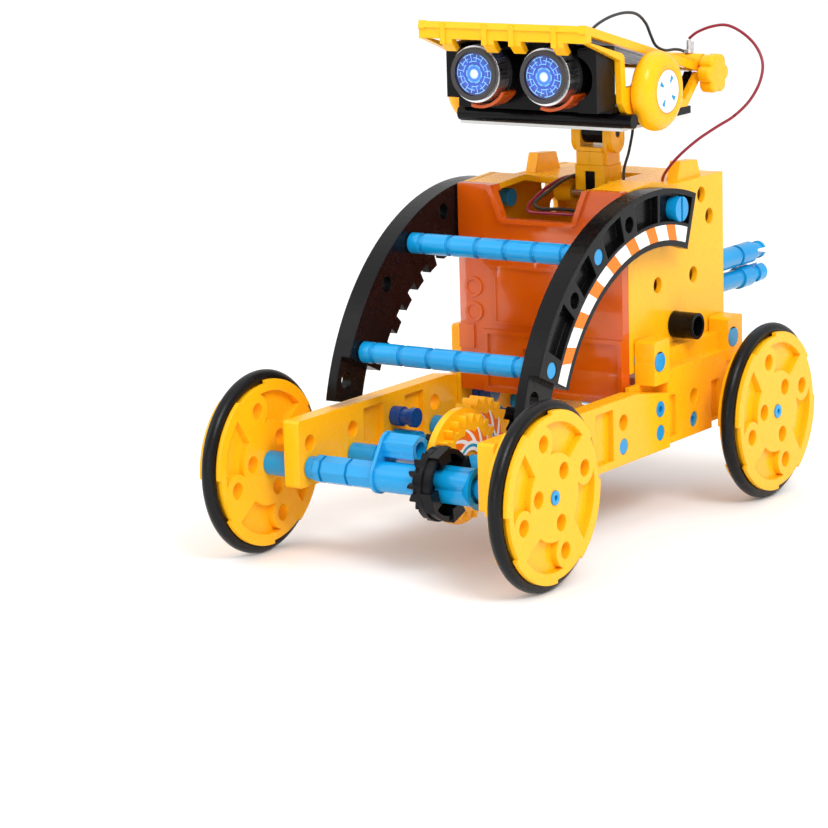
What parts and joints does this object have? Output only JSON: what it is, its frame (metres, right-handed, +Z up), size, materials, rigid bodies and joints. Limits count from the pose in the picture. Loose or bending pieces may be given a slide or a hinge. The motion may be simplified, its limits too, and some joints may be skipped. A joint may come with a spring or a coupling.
{
  "type": "solar robot car toy",
  "caption": "Four-wheeled robot car with a side-arched gearbox body, an exposed gear train, a tilting neck and a solar-panel head with round eyes.",
  "frame": {"origin": "on the ground, under the middle of the outline", "axes": "+X to the robot's left, +Y to its rear, +Z up; it faces -Y"},
  "size_m": [0.117, 0.2172, 0.1686],
  "materials": {
    "yellow_plastic": "glossy",
    "tyre_rubber": "matte",
    "orange_clear": "clear, glossy",
    "motor_steel": "satin",
    "white_plastic": "satin",
    "black_plastic": "satin",
    "blue_plastic": "glossy",
    "dark_blue_plastic": "glossy",
    "eye_chrome": "polished",
    "grey_plastic": "matte",
    "lens_blue": "polished",
    "solar_cell": "polished",
    "terminal_tin": "satin",
    "lead_red": "satin",
    "lead_black": "satin"
  },
  "bodies": {
    "base": {"beam_front_left": "yellow_plastic", "beam_front_right": "yellow_plastic", "chassis_side_left": "yellow_plastic", "chassis_side_right": "yellow_plastic", "body_shell_left": "yellow_plastic", "body_shell_right": "yellow_plastic", "gearbox_window": "orange_clear", "motor_can": "motor_steel", "arc_left": "black_plastic", "arc_right": "black_plastic", "cross_rods": "blue_plastic", "arc_pegs": "blue_plastic", "beam_pegs": "blue_plastic", "stub_pegs": "dark_blue_plastic", "half_pins": "blue_plastic", "rear_pegs": "blue_plastic", "red_lead": "lead_red", "black_lead": "lead_black", "motor_leads": "lead_black"},
    "front_axle": {"rims_front": "yellow_plastic", "tyres_front": "tyre_rubber", "hub_pins_front": "blue_plastic", "axle_front": "blue_plastic", "coupler": "blue_plastic", "drive_gear": "black_plastic", "fluted_sleeve": "blue_plastic"},
    "rear_axle": {"rims_rear": "yellow_plastic", "tyres_rear": "tyre_rubber", "hub_pins_rear": "blue_plastic", "axle_rear": "blue_plastic"},
    "front_gear": {"crown_gear_front": "yellow_plastic", "front_pinion": "black_plastic", "gear_shaft_front": "blue_plastic"},
    "rear_gear": {"crown_gear_rear": "yellow_plastic", "gear_shaft_rear": "blue_plastic"},
    "idler": {"idler_pinion": "black_plastic", "idler_shaft": "blue_plastic"},
    "chain_wheel": {"chain_gear": "yellow_plastic", "chain_shaft": "blue_plastic"},
    "output": {"output_gear": "white_plastic", "output_tube": "black_plastic"},
    "reducer": {"compound_gear": "white_plastic"},
    "rotor": {"motor_pinion": "motor_steel"},
    "neck": {"neck_halves": "yellow_plastic", "neck_core": "black_plastic", "neck_pin": "motor_steel", "head_pin": "black_plastic"},
    "head": {"head_tab": "black_plastic", "base_plate": "black_plastic", "eye_housing": "black_plastic", "eye_barrels": "eye_chrome", "eye_bezels": "grey_plastic", "eye_lenses": "lens_blue", "eye_lugs": "orange_clear", "panel_frame": "yellow_plastic", "side_brackets": "yellow_plastic", "solar_panel": "solar_cell", "ear_discs": "yellow_plastic", "rear_knobs": "yellow_plastic", "panel_terminals": "terminal_tin"}
  },
  "joints": [
    {"name": "front_axle_spin", "type": "hinge", "parent": "base", "child": "front_axle", "pos_m": [0, -0.0786, 0.03], "axis": [1, 0, 0], "continuous": true},
    {"name": "rear_axle_spin", "type": "hinge", "parent": "base", "child": "rear_axle", "pos_m": [0, 0.0654, 0.03], "axis": [1, 0, 0], "continuous": true},
    {"name": "front_gear_spin", "type": "hinge", "parent": "base", "child": "front_gear", "pos_m": [0, -0.0546, 0.03], "axis": [1, 0, 0], "continuous": true},
    {"name": "rear_gear_spin", "type": "hinge", "parent": "base", "child": "rear_gear", "pos_m": [0, -0.0306, 0.03], "axis": [1, 0, 0], "continuous": true},
    {"name": "idler_spin", "type": "hinge", "parent": "base", "child": "idler", "pos_m": [0, -0.0066, 0.03], "axis": [1, 0, 0], "continuous": true},
    {"name": "chain_wheel_spin", "type": "hinge", "parent": "base", "child": "chain_wheel", "pos_m": [0, 0.0174, 0.03], "axis": [1, 0, 0], "continuous": true},
    {"name": "output_spin", "type": "hinge", "parent": "base", "child": "output", "pos_m": [0, 0.0414, 0.062], "axis": [1, 0, 0], "continuous": true},
    {"name": "reducer_spin", "type": "hinge", "parent": "base", "child": "reducer", "pos_m": [0, 0.02083, 0.08651], "axis": [1, 0, 0], "continuous": true},
    {"name": "rotor_spin", "type": "hinge", "parent": "base", "child": "rotor", "pos_m": [0, 0.03361, 0.09116], "axis": [1, 0, 0], "continuous": true},
    {"name": "neck_tilt", "type": "hinge", "parent": "base", "child": "neck", "pos_m": [0, 0.0464, 0.104], "axis": [1, 0, 0], "range_deg": [-10, 10], "deforming": ["red_lead", "black_lead"]},
    {"name": "head_tilt", "type": "hinge", "parent": "neck", "child": "head", "pos_m": [0, 0.0464, 0.125], "axis": [1, 0, 0], "range_deg": [-12, 15], "deforming": ["red_lead", "black_lead"]}
  ],
  "couplings": [
    {"joint": "front_gear_spin", "follows": "front_axle_spin", "ratio": -0.5},
    {"joint": "rear_gear_spin", "follows": "front_axle_spin", "ratio": 0.25},
    {"joint": "idler_spin", "follows": "front_axle_spin", "ratio": -0.5},
    {"joint": "chain_wheel_spin", "follows": "front_axle_spin", "ratio": 0.25},
    {"joint": "output_spin", "follows": "front_axle_spin", "ratio": -0.16667},
    {"joint": "reducer_spin", "follows": "front_axle_spin", "ratio": 0.5},
    {"joint": "rotor_spin", "follows": "front_axle_spin", "ratio": -1.2}
  ]
}
